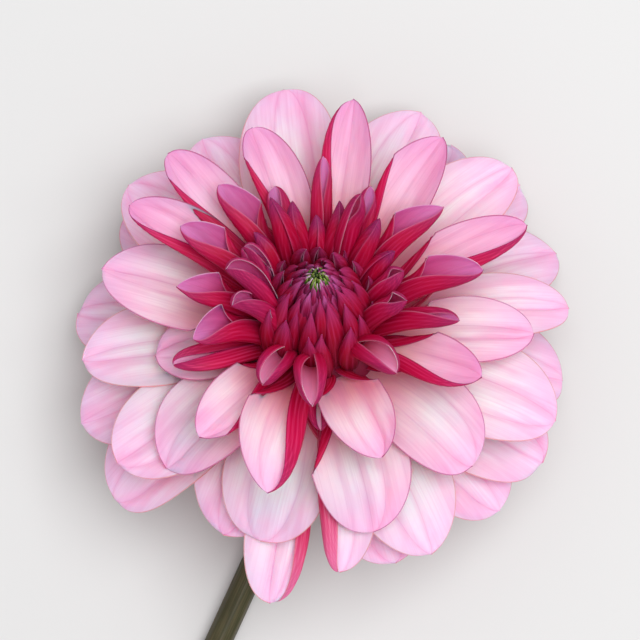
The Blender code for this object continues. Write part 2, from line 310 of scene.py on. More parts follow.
# %% How much florets differ
TUCK = 0.07                     # share by which one margin is turned over further than the other
BLUNTER = 0.18                  # share by which the way an end closes may differ from the row's
MARGIN_WANDER = 0.025           # share of the half-width by which a margin wanders in and out
MARGIN_WAVES = (9, 2)           # radians of that wave along the blade, and to each side of the midrib
FLAP_WAVES = (7, 1.4)           # the same for the wave that moves the margins up and down
OWN_PHASE = 3                   # radians by which a floret's own draw may shift both waves
TIP_ASIDE = 2.5                 # mm that a tip may lean to one side where the row's wave is 1
LEANS_LATE = 5                  # the power that keeps this lean near the tip
SWAY = 2.0                      # degrees about the axis by which a floret's middle may sway
print("a rolled margin turns", round(LOWEST.rolled * (1 - TUCK)), "to", round(LOWEST.rolled * (1 + TUCK)),
      "degrees")

# %% Creases and ribs
RIBS = 7                        # ribs on the back of a floret that has them
RIBS_END = 0.2                  # the share of the length over which they die out at the tip
CREASE_WIDE = 0.10              # how wide a crease is, in half-widths
LEFT_CREASE = (0.24, 0.26)      # half-widths from the midrib to the left crease, and how far it may shift
RIGHT_CREASE = (0.32, 0.20)     # the same for the right one
CREASE_DEPTH = (0.75, 0.45)     # share of the row's depth, and how much of it a draw moves to the other
CREASE_FROM, CREASE_GROWS, CREASE_ENDS = 0.15, 0.5, 0.12    # shares: starts, grows over, and dies out over


def furrows(row, share, place, half, sway, left_shift, right_shift):
    """Relief of the ribs and creases in mm, and for the skins each crease's distance and the depth."""
    left = place + LEFT_CREASE[0] + LEFT_CREASE[1] * left_shift
    right = place - RIGHT_CREASE[0] - RIGHT_CREASE[1] * right_shift
    more, less = CREASE_DEPTH[0] + CREASE_DEPTH[1] * sway, CREASE_DEPTH[0] - CREASE_DEPTH[1] * sway
    deep = row.crease * ease((share - CREASE_FROM) / CREASE_GROWS)
    relief = row.ridge * np.cos(RIBS * np.pi * place) * ease((1 - share) / RIBS_END)
    for away, depth in ((left, more), (right, less)):
        relief = relief - deep * depth * ease((1 - share) / CREASE_ENDS) / (1 + (away / CREASE_WIDE) ** 2)
    return relief, np.stack([left * half / more, right * half / less, np.minimum(deep, 1.0)], -1)


print("deepest a crease can be:", LOWEST.crease * sum(CREASE_DEPTH), "mm")

# %% One floret
def folded(row, share, place, half, clockwise, other):
    """How far each point is to the side of the midrib and over the face, in mm, once folded."""
    side = np.sign(place)
    opened = (share - row.opens_from) / (np.where(side < 0, clockwise, other) - row.opens_from)
    over = side * math.copysign(1, other - clockwise)
    start = np.clip(row.fold - row.lap * over, 0, 1)
    fold = start + (1 - start) * np.clip(opened, 0, 1) ** row.late
    rolled = row.rolled * (1 - TUCK * over)
    soft = row.soft - row.lap * (over > 0)
    sideways, inward = section(row, place, rolled, soft, fold)
    return sideways * half, inward * half


def shape_floret(row, number, share, place, draw):
    """Points, relief, half-width and creases for one floret, with its own small twist, wave and folds."""
    direction, length, width, clockwise, other = row.florets[number]
    twist, sway, phase, left_shift, right_shift, blunt, askew = draw.uniform(-1, 1, 7)
    side = np.sign(place)
    half = half_width(row._replace(taper=row.taper * (1 + BLUNTER * blunt)), width, share)
    in_and_out = np.sin(MARGIN_WAVES[0] * share + OWN_PHASE * phase + MARGIN_WAVES[1] * side)
    half = half * (1 + MARGIN_WANDER * row.wave * in_and_out)
    sideways, inward = folded(row, share, place, half, clockwise, other)
    sideways = sideways + row.wave * TIP_ASIDE * askew * share ** LEANS_LATE + row.sweep * share ** 2
    turn = np.radians(row.twist * twist) * share ** 2
    sideways, inward = (sideways * np.cos(turn) - inward * np.sin(turn),
                        sideways * np.sin(turn) + inward * np.cos(turn))
    up_and_down = np.sin(FLAP_WAVES[0] * share + OWN_PHASE * phase + FLAP_WAVES[1] * side)
    inward = inward + row.wave * place ** 2 * up_and_down * share ** 2
    rise = row.rise + row.lift * math.sin(math.radians(direction)) + row.stagger * (1 if number % 2 else -1)
    rib = midrib(row, length, rise, share)
    points = around_axis(rib, sideways, inward, direction + SWAY * sway * np.sin(np.pi * share))
    relief, creases = furrows(row, share, place, half, sway, left_shift, right_shift)
    return points, relief, half, creases


lone_tip = shape_floret(LOWEST, 0, np.array([1.0]), np.array([0.0]), np.random.default_rng(0))[0][0]
print("a first petal would end at", [round(float(value), 1) for value in lone_tip], "mm")

# %% [markdown]
# ## Growing a row
#
# One mesh holds a whole row. Each floret starts as a flat grid, and its points are moved to the formula's
# places. The grid is closer towards the tip and the margins, where the outline and the folds turn
# fastest. Three vectors are stored with every point, for the materials to read: its place on the blade
# with a number of the floret's own, the same place in millimetres with the distance to the margin, and
# the distances to the two creases.
#
# Where a petal would dip into the table it is pressed up smoothly instead. Two of the lowest carry the
# head and touch the table, and the rest stay just above it.

# %% Thickness, table and grid
THICK = 0.42                    # a petal's thickness, mm
THIN = 0.3                      # share of it that is left at the margins
THINS_OVER = 3.0                # mm from the margin where it starts to thin
TABLE_LIFT = 1.0                # mm that the other florets stay above the table
RESTING = (60, 118)             # directions of the two lowest florets that the head rests on
SOFTEN = 0.8                    # mm over which a petal is pressed up where it meets the table
LINE_KEEPS = 3.0                # mm; a tip narrower than this isn't filled by the line along its margins
TIP_CROWDING = 1.6              # 1 spaces the grid evenly from root to tip, more crowds it at the tip
MARGIN_CROWDING = 1.4           # the same from the midrib to the margins
SHARP_OVER = 60                 # degrees between faces from which an edge is drawn sharp


def crowded(share, power):
    """Shares that lie closer together towards 1."""
    return 1 - (1 - share) ** power


print("a petal is", THICK, "mm thick in its middle and", round(THICK * THIN, 2), "mm at its margins")

# %% A row of florets as one mesh
def place_floret(row, number, verts, layers, draw):
    """Moves one floret's grid to its shape, in mm, and stores what the skins and the thickness need."""
    direction, length, *rest = row.florets[number]
    share = crowded(np.array([vert.co.x + 1 for vert in verts]) / 2, TIP_CROWDING)
    place = np.array([vert.co.y for vert in verts])
    place = np.sign(place) * crowded(np.abs(place), MARGIN_CROWDING)
    points, relief, half, creases = shape_floret(row, number, share, place, draw)
    edge = (1 - np.abs(place)) * np.maximum(half, LINE_KEEPS)
    own = draw.uniform()
    table = 0.0 if row is LOWEST and direction in RESTING else TABLE_LIFT
    for at, vert in enumerate(verts):
        vert.co = HEAD @ Vector(points[at])
        vert[layers["blade"]] = (share[at], place[at], own)
        vert[layers["blade_mm"]] = (share[at] * length, place[at] * half[at], edge[at])
        vert[layers["creases_mm"]] = creases[at]
        vert[layers["relief_mm"]] = relief[at]
        vert[layers["floor_mm"]] = table
        vert[layers["weight"]][0] = THIN + (1 - THIN) * min(edge[at] / THINS_OVER, 1.0)


def grow(name, row, skins, grid, seed, thick=THICK):
    """All of a row's florets in one object, thickened and smooth, with a skin for the face and the back."""
    draw = np.random.default_rng(seed)
    work = bmesh.new()
    layers = {key: work.verts.layers.float_vector.new(key) for key in ("blade", "blade_mm", "creases_mm")}
    layers.update({key: work.verts.layers.float.new(key) for key in ("relief_mm", "floor_mm")})
    layers["weight"] = work.verts.layers.deform.verify()
    for number in range(len(row.florets)):
        verts = bmesh.ops.create_grid(work, x_segments=grid[0], y_segments=grid[1], size=1)["verts"]
        place_floret(row, number, verts, layers, draw)
    work.normal_update()
    for vert in work.verts:
        vert.co += vert.normal * vert[layers["relief_mm"]]
        over = vert.co.z - vert[layers["floor_mm"]] - thick
        vert.co.z = vert[layers["floor_mm"]] + thick / 2 + (over + math.hypot(over, SOFTEN)) / 2
    mesh = bpy.data.meshes.new(name)
    work.to_mesh(mesh)
    work.free()
    mesh.transform(Matrix.Scale(MM, 4))
    for skin in skins:
        mesh.materials.append(skin)
    return thicken(name, mesh, thick)


print("a row's mesh starts in mm and is scaled to metres by", MM)

# %% [markdown]
# A sheet gets its thickness from a Solidify modifier. It follows the vertex group, so the margins stay
# thin, and gives the new under side the second material. The modifier is then made real, so the mesh
# itself is the petal.

# %% A sheet with two sides
def thicken(name, mesh, thick):
    """A sheet of florets as an object with faces, backs and crisp margins."""
    made = bpy.data.objects.new(name, mesh)
    bpy.context.scene.collection.objects.link(made)
    made.vertex_groups.new(name="thick")
    solidify = made.modifiers.new("thickness", "SOLIDIFY")
    solidify.thickness = thick * MM
    solidify.offset = 0
    solidify.vertex_group = "thick"
    solidify.material_offset = 1
    depsgraph = bpy.context.evaluated_depsgraph_get()
    made.data = bpy.data.meshes.new_from_object(
        made.evaluated_get(depsgraph), preserve_all_data_layers=True, depsgraph=depsgraph)
    made.modifiers.clear()
    made.data.shade_smooth()
    made.data.set_sharp_from_angle(angle=math.radians(SHARP_OVER))
    print(name, "has", len(made.data.polygons), "faces")
    return made


# %% [markdown]
# ## Colours and nodes
#
# Colours are written the way a paint chart gives them, as sRGB hex. Blender's shaders add up light, so
# they want linear values, and one function turns one into the other. A second function adds a node to a
# material with its settings and its links, and every material below is built with it.

# %% Hex colours and one node helper
def linear(colour):
    """An sRGB hex colour as the linear red, green, blue and alpha that a shader takes."""
    channels = [int(colour[at:at + 2], 16) / 255 for at in (1, 3, 5)]
    light = [value / 12.92 if value <= 0.04045 else ((value + 0.055) / 1.055) ** 2.4 for value in channels]
    return (*light, 1.0)


def add_node(tree, kind, inputs=None, **settings):
    """Adds a node: settings are its own properties, and inputs name sockets that take a value or a link."""
    made = tree.nodes.new("ShaderNode" + kind)
    for name, value in settings.items():
        setattr(made, name, value)
    for name, value in (inputs or {}).items():
        if isinstance(value, bpy.types.NodeSocket):
            tree.links.new(value, made.inputs[name])
        else:
            made.inputs[name].default_value = value
    return made


def new_material(name):
    """A material with its node tree and its one shader."""
    material = bpy.data.materials.new(name)
    material.use_nodes = True
    return material, material.node_tree, material.node_tree.nodes["Principled BSDF"]


print("sRGB mid grey is", round(linear("#808080")[0], 3), "in linear light")

# %% [markdown]
# ## The skin of a petal
#
# A petal is living tissue under a thin wax layer, made of long files of cells with air between them.
# Light enters, scatters and comes out again some way off, so petals glow softly and their shadows turn
# warm. Subsurface scattering gives that, and red light goes furthest. The cells end in small bumps that
# break the gloss up, so the roughness is high and the gloss soft. The index of refraction of plant wax is
# about 1.4.
#
# The pigment isn't even. It follows the files of cells in fine streaks and soft bands, and makes a thin
# darker line where the two skins meet at the margin. Along the creases the face is painted darker as
# shade, for the shade that lies in their valleys. All of these patterns are drawn in millimetres on the
# blade, so they keep their size on a long and on a short floret.

# %% Pattern shared by both sides of a petal
CELL_FILE = 0.35                # mm across a fine streak; real files of cells are about 0.03 mm wide, too
                                # fine to show, so they are drawn some ten times as wide
SOFT_BAND = 3.4                 # mm across one soft band of colour
STREAK_LENGTH = 22.0            # mm along the blade before a streak fades
MARGIN_LINE = 0.38              # mm, the darker line along the margin
VALLEY_SHADE_MM = 2.6                    # mm to each side of a crease where the face is painted darker as shade
CREASE_SHADE_LINE = 0.30              # mm, the thin line of painted shade at the bottom of a crease
OWN_STREAKS = 90.0              # how far apart in the noise two florets read their streaks


def petal_pattern(tree):
    """The numbers that every petal material reads, as a dictionary of sockets."""
    stored = {}
    for name in ("blade", "blade_mm", "creases_mm"):
        vector = add_node(tree, "Attribute", attribute_name=name).outputs["Vector"]
        stored[name] = add_node(tree, "SeparateXYZ", {0: vector}).outputs
    share, place, own = stored["blade"]
    along, across, edge = stored["blade_mm"]
    left, right, depth = stored["creases_mm"]
    shifted = add_node(tree, "Math", {0: own, 1: OWN_STREAKS}, operation="MULTIPLY").outputs[0]
    seen = {"share": share, "place": place}
    for name, wide in (("fine", CELL_FILE), ("soft", SOFT_BAND)):
        x = add_node(tree, "Math", {0: across, 1: 1 / wide}, operation="MULTIPLY").outputs[0]
        y = add_node(tree, "Math", {0: along, 1: 1 / STREAK_LENGTH}, operation="MULTIPLY").outputs[0]
        where = add_node(tree, "CombineXYZ", {"X": x, "Y": y, "Z": shifted}).outputs[0]
        noise = add_node(tree, "TexNoise", {"Vector": where, "Scale": 1.0, "Detail": 2.0, "Roughness": 0.6})
        seen[name] = noise.outputs["Fac"]
    left = add_node(tree, "Math", {0: left}, operation="ABSOLUTE").outputs[0]
    right = add_node(tree, "Math", {0: right}, operation="ABSOLUTE").outputs[0]
    near = add_node(tree, "Math", {0: left, 1: right}, operation="MINIMUM").outputs[0]
    # the valley and crease marks are painted shade along the creases
    marks = (("margin", edge, MARGIN_LINE), ("valley_shade", near, VALLEY_SHADE_MM), ("crease", near, CREASE_SHADE_LINE))
    for name, away, wide in marks:
        fades = {"Value": away, "From Min": 0.0, "From Max": wide, "To Min": 1.0, "To Max": 0.0}
        seen[name] = add_node(tree, "MapRange", fades, interpolation_type="SMOOTHSTEP").outputs[0]
    for name in ("valley_shade", "crease"):
        seen[name] = add_node(tree, "Math", {0: seen[name], 1: depth}, operation="MULTIPLY").outputs[0]
    return seen


print("fine streaks across a petal 25 mm wide:", round(25 / CELL_FILE))

# %% Living tissue
WAX_IOR = 1.4                   # index of refraction
GLOW = (1.0, 0.35, 0.45)        # how far red, green and blue light spread inside the tissue, as shares
GLOW_MM = 2.2                   # mm that red light spreads


def living_skin(shader, roughness, glow=0.85, mirror=0.3):
    """Wax over translucent tissue; the cone-shaped cells catch most of what a flat film would mirror."""
    shader.inputs["Roughness"].default_value = roughness
    shader.inputs["IOR"].default_value = WAX_IOR
    shader.inputs["Specular IOR Level"].default_value = mirror
    shader.inputs["Subsurface Weight"].default_value = glow
    shader.inputs["Subsurface Radius"].default_value = GLOW
    shader.inputs["Subsurface Scale"].default_value = GLOW_MM * MM


print("red, green and blue light spread", [round(GLOW_MM * part, 2) for part in GLOW], "mm")

# %% [markdown]
# ## The face
#
# The face is rose in the throat, palest in the middle and lilac pink at the tip, and nearer the heart the
# same face is mauve. The rose of the throat is partly pigment and partly painted shade, the warm shade
# that falls where the petals lie over one another. Every pattern lays some of one streak colour over these
# three, so the petal stays of one kind. The colour could be painted by hand on each petal, but a rule
# that follows the blade suits all of them.

# %% Petal face
THROAT_ENDS = (0.22, 0.68)      # share of the length where the throat's colour starts and stops to fade
TIP_STARTS = (0.55, 1.0)        # the same for the colour of the tip
FACE_MARKS = (                  # a pattern, its values where it starts and is full, and how strong it gets
    ("soft", 0.44, 0.68, 0.36),
    ("fine", 0.46, 0.72, 0.20),
    # the next two marks paint shade into the creases
    ("valley_shade", 0.0, 1.0, 0.26),
    ("crease", 0.0, 1.0, 0.32))
MARGIN_TINT_AND_SHADE = 0.36              # how strong the streak colour gets towards the margins, partly pigment and partly painted shade
CELL_BUMP_MM = 0.12             # mm, higher than real cells, which are too fine to show


def petal_face(name, throat, middle, tip, streak, line, line_strength):
    """The upper side of a row's petals, streaked along the blade and with a line along the margin."""
    material, tree, shader = new_material(name)
    seen = petal_pattern(tree)
    colour = linear(throat)
    for (starts, full), ink in ((THROAT_ENDS, middle), (TIP_STARTS, tip)):
        amount = add_node(tree, "MapRange", {"Value": seen["share"], "From Min": starts, "From Max": full},
                          interpolation_type="SMOOTHSTEP").outputs[0]
        mixed = add_node(tree, "MixRGB", {"Fac": amount, "Color1": colour, "Color2": linear(ink)})
        colour = mixed.outputs[0]
    for pattern, starts, full, strength in FACE_MARKS:
        amount = add_node(tree, "MapRange", {"Value": seen[pattern], "From Min": starts, "From Max": full,
                                             "To Max": strength}).outputs[0]
        mixed = add_node(tree, "MixRGB", {"Fac": amount, "Color1": colour, "Color2": linear(streak)})
        colour = mixed.outputs[0]
    # towards the margins the streak colour is partly pigment and partly painted shade
    outwards = add_node(tree, "Math", {0: seen["place"], 1: seen["place"]}, operation="MULTIPLY").outputs[0]
    for pattern, strength, ink in ((outwards, MARGIN_TINT_AND_SHADE, streak), (seen["margin"], line_strength, line)):
        amount = add_node(tree, "Math", {0: pattern, 1: strength}, operation="MULTIPLY").outputs[0]
        mixed = add_node(tree, "MixRGB", {"Fac": amount, "Color1": colour, "Color2": linear(ink)})
        colour = mixed.outputs[0]
    tree.links.new(colour, shader.inputs["Base Color"])
    living_skin(shader, roughness=0.52)
    bumps = {"Height": seen["fine"], "Strength": 0.25, "Distance": CELL_BUMP_MM * MM}
    cells = add_node(tree, "Bump", bumps)
    tree.links.new(cells.outputs[0], shader.inputs["Normal"])
    return material


print("marks on a face:", [pattern for pattern, *rest in FACE_MARKS])

# %% [markdown]
# ## The back
#
# The back carries most of the pigment, so it is crimson, and veins run along it as paler lines that
# wander and break. They come from a cosine across the blade, pushed aside by the soft bands and broken up
# by the fine streaks. Less light goes through it and it mirrors less, so the back looks deeper than the
# face.

# %% Petal back
ROOT_ENDS = (0.1, 0.65)         # share of the length where the root's colour starts and stops to fade
VEIN_WANDER = 6.0               # radians by which the soft bands may push a vein aside
VEIN_BREAKS = 4.0               # how strongly the fine streaks break it up
VEIN_SHOWS = (1.9, 3.4)         # sum of vein and streak where a vein starts to show and is full
FLECKS = (0.45, 0.75, 0.25)     # fine streak where flecks start and are full, and their strength
VEIN_RELIEF = 0.4               # height of the veins in the bump, against 1 for the cells
BACK_BUMP_MM = 0.10             # mm
VEINS = 10                      # on half a blade, unless a skin says otherwise


def petal_back(name, root, middle, tip, vein, vein_strength, line, line_strength, veins=VEINS,
               tip_from=0.60):
    """The under side of a row's petals, with its paler veins; their number is for half the blade."""
    material, tree, shader = new_material(name)
    seen = petal_pattern(tree)
    low = add_node(tree, "MapRange", {"Value": seen["share"], "From Min": ROOT_ENDS[0],
                                      "From Max": ROOT_ENDS[1]}).outputs[0]
    high = add_node(tree, "MapRange", {"Value": seen["share"], "From Min": tip_from, "From Max": 1.0},
                    interpolation_type="SMOOTHSTEP").outputs[0]
    # a root colour darker than the middle is partly pigment and partly painted shade where florets crowd
    colour = linear(root)
    for amount, ink in ((low, middle), (high, tip)):
        mixed = add_node(tree, "MixRGB", {"Fac": amount, "Color1": colour, "Color2": linear(ink)})
        colour = mixed.outputs[0]
    wander = add_node(tree, "Math", {0: seen["soft"], 1: VEIN_WANDER}, operation="MULTIPLY").outputs[0]
    turns = add_node(tree, "Math", {0: seen["place"], 1: 2 * math.pi * veins, 2: wander},
                     operation="MULTIPLY_ADD").outputs[0]
    waves = add_node(tree, "Math", {0: turns}, operation="COSINE").outputs[0]
    broken = add_node(tree, "Math", {0: seen["fine"], 1: VEIN_BREAKS, 2: waves},
                      operation="MULTIPLY_ADD").outputs[0]
    for pattern, starts, full, strength in ((broken, *VEIN_SHOWS, vein_strength), (seen["fine"], *FLECKS)):
        amount = add_node(tree, "MapRange", {"Value": pattern, "From Min": starts, "From Max": full,
                                             "To Max": strength}).outputs[0]
        mixed = add_node(tree, "MixRGB", {"Fac": amount, "Color1": colour, "Color2": linear(vein)})
        colour = mixed.outputs[0]
    amount = add_node(tree, "Math", {0: seen["margin"], 1: line_strength}, operation="MULTIPLY").outputs[0]
    mixed = add_node(tree, "MixRGB", {"Fac": amount, "Color1": colour, "Color2": linear(line)})
    tree.links.new(mixed.outputs[0], shader.inputs["Base Color"])
    living_skin(shader, roughness=0.5, glow=0.3, mirror=0.18)
    ridges = add_node(tree, "Math", {0: waves, 1: VEIN_RELIEF, 2: seen["fine"]},
                      operation="MULTIPLY_ADD").outputs[0]
    bump = add_node(tree, "Bump", {"Height": ridges, "Strength": 0.25, "Distance": BACK_BUMP_MM * MM})
    tree.links.new(bump.outputs[0], shader.inputs["Normal"])
    return material


print("veins from margin to margin:", 2 * VEINS)

# %% [markdown]
# ## Which skins the rows wear
#
# The pigment deepens towards the heart. The two lowest rows are pale with a coral line and a rose back.
# The next are pale with a mauve rim and a crimson back, then the faces turn mauve as well, and the closed
# ones are darkest. The funnels get paler towards their mouth, and a nearly white lip makes it stand out.

# %% Skins of the pale rows
# the rose throats of these faces are partly pigment and partly painted shade, where petals overlap
pale_face = petal_face("pale_rose_petal_face", throat="#f6aab4", middle="#ffe0e4", tip="#f9c6e1",
                       streak="#e27cae", line="#d87e78", line_strength=0.95)
pale_back = petal_back("rose_petal_back", root="#a80c38", middle="#c42458", tip="#d4608e",
                       vein="#e88cae", vein_strength=0.3, line="#d97880", line_strength=0.6)
rimmed_face = petal_face("mauve_rimmed_petal_face", throat="#f29aa6", middle="#fedae0", tip="#f3bad8",
                         streak="#d270a4", line="#943c6c", line_strength=0.95)
blush_face = petal_face("blush_petal_face", throat="#efb4b0", middle="#f3c4d6", tip="#d9a0c4",
                        streak="#b8689a", line="#7c2052", line_strength=0.95)
blush_back = petal_back("crimson_petal_back", root="#9c0022", middle="#b20440", tip="#90184e",
                        vein="#d83c74", vein_strength=0.42, line="#701a4c", line_strength=0.6)
print("petal materials:", [material.name for material in bpy.data.materials if "petal" in material.name])

# %% Skins of the crimson rows
mauve_face = petal_face("mauve_floret_face", throat="#a01c46", middle="#c04c88", tip="#bc78ae",
                        streak="#8c3070", line="#e0a8c8", line_strength=0.6)
# the funnel face's dark throat is partly pigment and partly painted shade, deep inside the funnel
funnel_face = petal_face("funnel_floret_face", throat="#a81c4c", middle="#d67aa0", tip="#e2a0c2",
                         streak="#b8588c", line="#fdeaf0", line_strength=0.9)
mouth_face = petal_face("tube_mouth_face", throat="#84103c", middle="#b03070", tip="#b8588e",
                        streak="#7c1c54", line="#eebcd2", line_strength=0.75)
deep_back = petal_back("deep_crimson_floret_back", root="#86001c", middle="#a80236", tip="#8a164c",
                       vein="#c82e66", vein_strength=0.34, line="#d4789e", line_strength=0.5, veins=8)
sheath_face = petal_face("pointed_floret_face", throat="#70082c", middle="#8c1c4c", tip="#a04478",
                         streak="#6c1448", line="#a03868", line_strength=0.4)
sheath_back = petal_back("pointed_floret_back", root="#760014", middle="#a2002e", tip="#7c1c54",
                         vein="#c03064", vein_strength=0.25, line="#b8507c", line_strength=0.4, veins=8,
                         tip_from=0.68)
print("floret materials:", [material.name for material in bpy.data.materials if "floret" in material.name])

# %% [markdown]
# ## The open florets
#
# The ten rows go up from the table to the heart. Each is one piece that rides on the flower and stands
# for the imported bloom. Its grid is fine enough for the folds to be round, and its seed keeps its draws
# the same each time.

# %% Petals, row by row
OPEN_GRID = (38, 34)            # squares of an open floret's grid, along it and across it


def tie(piece, node):
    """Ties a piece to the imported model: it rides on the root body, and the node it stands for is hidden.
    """
    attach(piece, "root")
    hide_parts(node)


for name, row, skins, seed in (
        ("petals_lowest", LOWEST, (pale_face, pale_back), 11),
        ("petals_outer", OUTER, (pale_face, pale_back), 12),
        ("petals_middle", MIDDLE, (rimmed_face, blush_back), 13),
        ("petals_inner", INNER, (blush_face, blush_back), 14),
        ("petals_inner_low", PALE_INNER, (rimmed_face, blush_back), 18),
        ("florets_rolled", ROLLED, (mauve_face, deep_back), 15),
        ("florets_funnelled", FUNNELS, (funnel_face, deep_back), 17),
        ("florets_spooned", SPOONS, (mouth_face, deep_back), 19),
        ("florets_tubed", TUBED, (mouth_face, deep_back), 16),
        ("florets_pointed", POINTED, (sheath_face, sheath_back), 20)):
    tie(grow(name, row, skins, OPEN_GRID, seed), "bloom")

# %% [markdown]
# ## The heart
#
# The youngest florets are still shut. Each is the same strap with its margins rolled right round, one
# under the other, so it is a pointed tube, and it leans in over the middle. They stand in rings, and each
# ring is turned against the one below it, as the spiral of a real head does.

# %% What describes a ring of shut florets
class Ring(NamedTuple):
    """One ring of shut florets; lengths in millimetres, angles in degrees."""
    count: int
    first: float                # direction of the first one
    root_radius: float          # distance of the roots from the head's axis
    root_height: float          # height of the roots against the eye
    length: float
    thickness: float            # of one tube at its widest
    rise: float                 # slope at the root
    bend: float                 # change of slope from root to tip
    taper: float = 1.1          # how the end closes: more is more pointed


CLOSED_RINGS = (
    Ring(15, 17, 11.6, -27.0, 19.5, 4.6, 80, 34),
    Ring(14, 5, 10.0, -25.0, 22.0, 4.5, 84, 40),
    Ring(14, 16, 8.2, -19.5, 17.0, 3.9, 90, 38, 1.2),
    Ring(15, 4, 6.4, -14.0, 13.0, 2.6, 94, 36, 1.3),
    Ring(17, 0, 4.8, -10.0, 10.2, 1.6, 95, 38, 1.5),
    Ring(21, 14, 3.8, -6.8, 7.0, 0.8, 90, 50, 1.5))
print("shut florets:", sum(ring.count for ring in CLOSED_RINGS))

# %% A ring in the words of a row
SHUT_ROLL = 176                 # degrees that each margin of a shut floret is rolled
UNEVEN = 0.15                   # share by which the florets of a ring differ in length and girth
OUT_OF_STEP = 0.24              # share of the spacing by which one may stand out of step
STAYS_SHUT = 2.0                # the fold runs out at this share of the length, past the tip
LAPS_BY = 0.1                   # the margin that would open this much later lies on top, turn about
RIB_SHARE = 0.015               # height of a shut floret's ribs, as a share of its thickness


def ring_as_row(ring, seed):
    """A ring of shut florets as a row: the tube's girth gives the flat width that it is rolled from."""
    draw = np.random.default_rng(seed)
    flat_width = ring.thickness * math.radians(SHUT_ROLL)
    florets = []
    for number in range(ring.count):
        step, length, girth = draw.uniform(-1, 1, 3)
        direction = ring.first + (number + OUT_OF_STEP * step) * 360 / ring.count
        florets.append((direction, ring.length * (1 + UNEVEN * length), flat_width * (1 + UNEVEN * girth),
                        STAYS_SHUT, STAYS_SHUT + LAPS_BY * (1 if number % 2 else -1)))
    return Row(
        root_radius=ring.root_radius + ring.thickness / 2, root_height=ring.root_height, rise=ring.rise,
        bend=ring.bend, claw=0.75, widest=0.30, taper=ring.taper, rolled=SHUT_ROLL, fold=0.0, soft=1.0,
        late=9.0, ridge=RIB_SHARE * ring.thickness, stagger=2.5, twist=55, florets=tuple(florets))


print("a shut floret of the first ring is rolled from a strap",
      round(CLOSED_RINGS[0].thickness * math.radians(SHUT_ROLL), 1), "mm wide")

# %% [markdown]
# Mostly the backs of these florets show. Their colour is painted dark at the root as shade, since little
# light gets in there, and turns mauve at the tip, with a pale margin that draws each seam. The last ring
# has whitish tips, which give the ring of pale ticks that surrounds the eye of a young head.

# %% The heart's skins and rings
SHUT_GRID = (26, 20)            # squares of a shut floret's grid
SHUT_THICK = 0.3                # mm

# the dark root colours of these backs are painted shade between the shut florets
shut_back = petal_back("shut_floret_back", root="#5c000c", middle="#9c022a", tip="#96285e",
                       vein="#c43a70", vein_strength=0.28, line="#dc94b6", line_strength=0.6, veins=5)
young_back = petal_back("young_floret_back", root="#3c000c", middle="#8a1040", tip="#a8508c",
                        vein="#c04c88", vein_strength=0.4, line="#e4b4d0", line_strength=0.7, veins=2,
                        tip_from=0.62)
rim_back = petal_back("youngest_floret_back", root="#2c000a", middle="#6c0c3c", tip="#e8c0d8",
                      vein="#b04c84", vein_strength=0.4, line="#f4dce8", line_strength=0.7, veins=2,
                      tip_from=0.70)
HEART_BACKS = (shut_back, shut_back, shut_back, young_back, young_back, rim_back)

for number, (ring, back) in enumerate(zip(CLOSED_RINGS, HEART_BACKS)):
    row = ring_as_row(ring, seed=31 + number)
    shut = grow(f"florets_shut_{number + 1}", row, (mauve_face, back), SHUT_GRID, 21 + number, SHUT_THICK)
    tie(shut, "heart")

# %% [markdown]
# ## The eye
#
# The last florets of all are still inside their own small green scales, which close over the middle with
# pale tips. They are the same shut shape, much smaller, in three rings.

# %% Green scales of the eye
EYE_RINGS = (
    Ring(11, 0, 2.4, -4.8, 4.7, 1.0, 84, 44, 1.3),
    Ring(8, 20, 1.6, -4.2, 4.1, 0.95, 86, 40, 1.3),
    Ring(5, 8, 0.8, -3.6, 3.3, 0.9, 88, 30, 1.2))
SCALE_GRID = (16, 12)           # squares of a green scale's grid
SCALE_THICK = 0.2               # mm

scale_face = petal_face("green_scale_face", throat="#4a5c1c", middle="#6a7c30", tip="#a0b060",
                        streak="#4a6a20", line="#d8deb4", line_strength=0.5)
# the near-black root of the scales is painted shade, for the dark gaps between them
scale_back = petal_back("green_scale_back", root="#16240a", middle="#3a5210", tip="#93a552",
                        vein="#66803a", vein_strength=0.4, line="#d6dcb4", line_strength=0.4, veins=1)
for number, ring in enumerate(EYE_RINGS):
    row = ring_as_row(ring, seed=61 + number)
    scales = grow(f"eye_scales_{number + 1}", row, (scale_face, scale_back), SCALE_GRID, 41 + number,
                  SCALE_THICK)
    tie(scales, "eye")

# %% [markdown]
# ## Behind the head
#
# The florets stand on a fleshy cone, the receptacle. Below it is a green cup with two sorts of leaves:
# thin scales pressed against the petals, and five thick bracts that bend down. From the front none of
# this shows, but a flower that can be picked up needs its back. The cone and the cup are outlines turned
# about the head's axis by a Screw modifier, and a Subdivision Surface rounds them.

# %% Turned pieces
RECEPTACLE = (
    (0, -44.5), (9.0, -44.5), (14.5, -41.5), (17.0, -36.0), (16.0, -31.0), (13.5, -28.5), (10.5, -26.0),
    (8.4, -18.0), (6.4, -11.5), (3.6, -7.5), (0, -6.5))
CUP = ((0, -49.5), (4.2, -49.5), (6.5, -48.5), (9.5, -46.4), (10.0, -44.8), (0, -44.8))
TURNED_STEPS = 48               # steps round the axis
WELD = 0.01                     # mm; points of the outline on the axis become one
ROUNDING = 2                    # times that each face is divided


